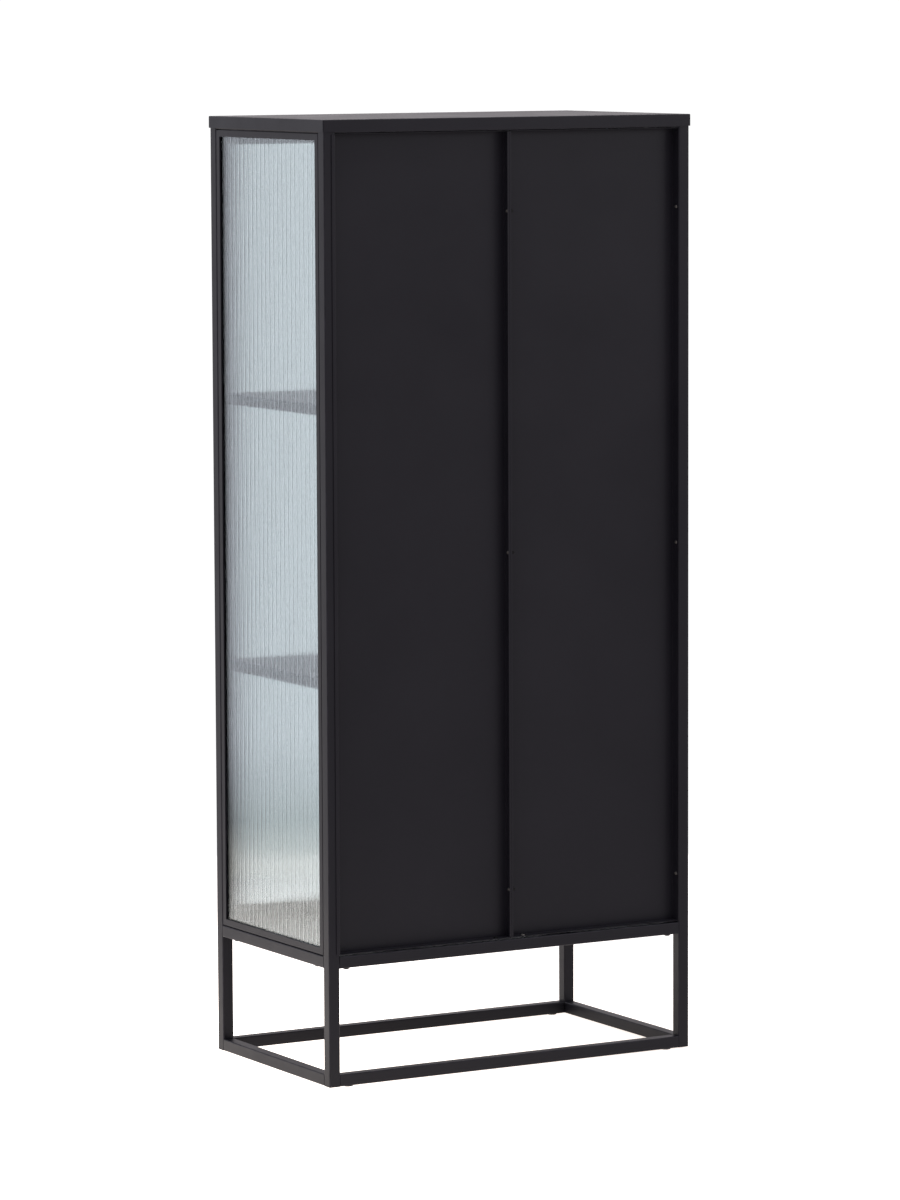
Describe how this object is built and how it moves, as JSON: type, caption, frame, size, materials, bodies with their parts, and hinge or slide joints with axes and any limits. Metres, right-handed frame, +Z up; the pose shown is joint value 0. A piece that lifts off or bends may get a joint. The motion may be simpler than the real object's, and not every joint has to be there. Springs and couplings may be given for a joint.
{
  "type": "china cabinet",
  "caption": "Tall narrow display cabinet: black square-tube frame on an open foot frame, reeded glass sides and hinged glass doors, shelves, sheet-metal back.",
  "frame": {"origin": "on the floor, under the middle of the bounding box", "axes": "+Z up, the doors face -Y, +X to the right of a person facing the doors"},
  "size_m": [0.707, 0.4242, 1.6],
  "materials": {
    "frame_coat": "black satin powder coat",
    "sheet_coat": "black satin powder coat on sheet",
    "door_coat": "black satin powder coat",
    "board_coat": "black painted board",
    "reeded_glass": "clear glass with vertical reeds on its outer face",
    "hinge_steel": "black coated steel",
    "knob_steel": "black satin powder coat",
    "screw_steel": "black zinc",
    "catch_plastic": "matt",
    "strike_steel": "zinc plated",
    "glide_plastic": "matt"
  },
  "bodies": {
    "cabinet": {"post_front_left": "frame_coat", "post_front_right": "frame_coat", "post_back_left": "frame_coat", "post_back_right": "frame_coat", "side_base_rail_left": "frame_coat", "side_base_rail_right": "frame_coat", "front_base_rail": "frame_coat", "back_base_rail": "frame_coat", "side_body_rail_left": "frame_coat", "side_body_rail_right": "frame_coat", "front_body_rail": "frame_coat", "back_body_rail": "frame_coat", "side_top_rail_left": "frame_coat", "side_top_rail_right": "frame_coat", "front_top_rail": "frame_coat", "back_top_rail": "frame_coat", "top_cap": "sheet_coat", "back_panel_left": "sheet_coat", "back_panel_right": "sheet_coat", "back_screw_lower": "screw_steel", "back_screw_middle": "screw_steel", "back_screw_upper": "screw_steel", "glazing_frame_left": "frame_coat", "side_glass_left": "reeded_glass", "glazing_frame_right": "frame_coat", "side_glass_right": "reeded_glass", "floor_panel": "board_coat", "shelf_lower": "board_coat", "shelf_cleat_lower_left": "frame_coat", "shelf_cleat_lower_right": "frame_coat", "shelf_upper": "board_coat", "shelf_cleat_upper_left": "frame_coat", "shelf_cleat_upper_right": "frame_coat", "magnetic_catch": "catch_plastic", "glide_front_left": "glide_plastic", "glide_front_right": "glide_plastic", "glide_back_left": "glide_plastic", "glide_back_right": "glide_plastic", "hinge_left_lower_pin": "hinge_steel", "hinge_left_upper_pin": "hinge_steel", "hinge_right_lower_pin": "hinge_steel", "hinge_right_upper_pin": "hinge_steel"},
    "door_left": {"door_left_hinge_stile": "door_coat", "door_left_meeting_stile": "door_coat", "door_left_top_rail": "door_coat", "door_left_bottom_rail": "door_coat", "door_left_glass": "reeded_glass", "door_left_knob": "knob_steel", "door_left_strike": "strike_steel", "hinge_left_lower_sleeve": "hinge_steel", "hinge_left_upper_sleeve": "hinge_steel"},
    "door_right": {"door_right_hinge_stile": "door_coat", "door_right_meeting_stile": "door_coat", "door_right_top_rail": "door_coat", "door_right_bottom_rail": "door_coat", "door_right_glass": "reeded_glass", "door_right_knob": "knob_steel", "door_right_strike": "strike_steel", "hinge_right_lower_sleeve": "hinge_steel", "hinge_right_upper_sleeve": "hinge_steel"}
  },
  "joints": [
    {"name": "door_left_hinge", "type": "hinge", "parent": "cabinet", "child": "door_left", "pos_m": [-0.3305, -0.19455, 0.22], "axis": [0, 0, -1], "range_deg": [0, 170]},
    {"name": "door_right_hinge", "type": "hinge", "parent": "cabinet", "child": "door_right", "pos_m": [0.3305, -0.19455, 0.22], "axis": [0, 0, 1], "range_deg": [0, 170]}
  ]
}
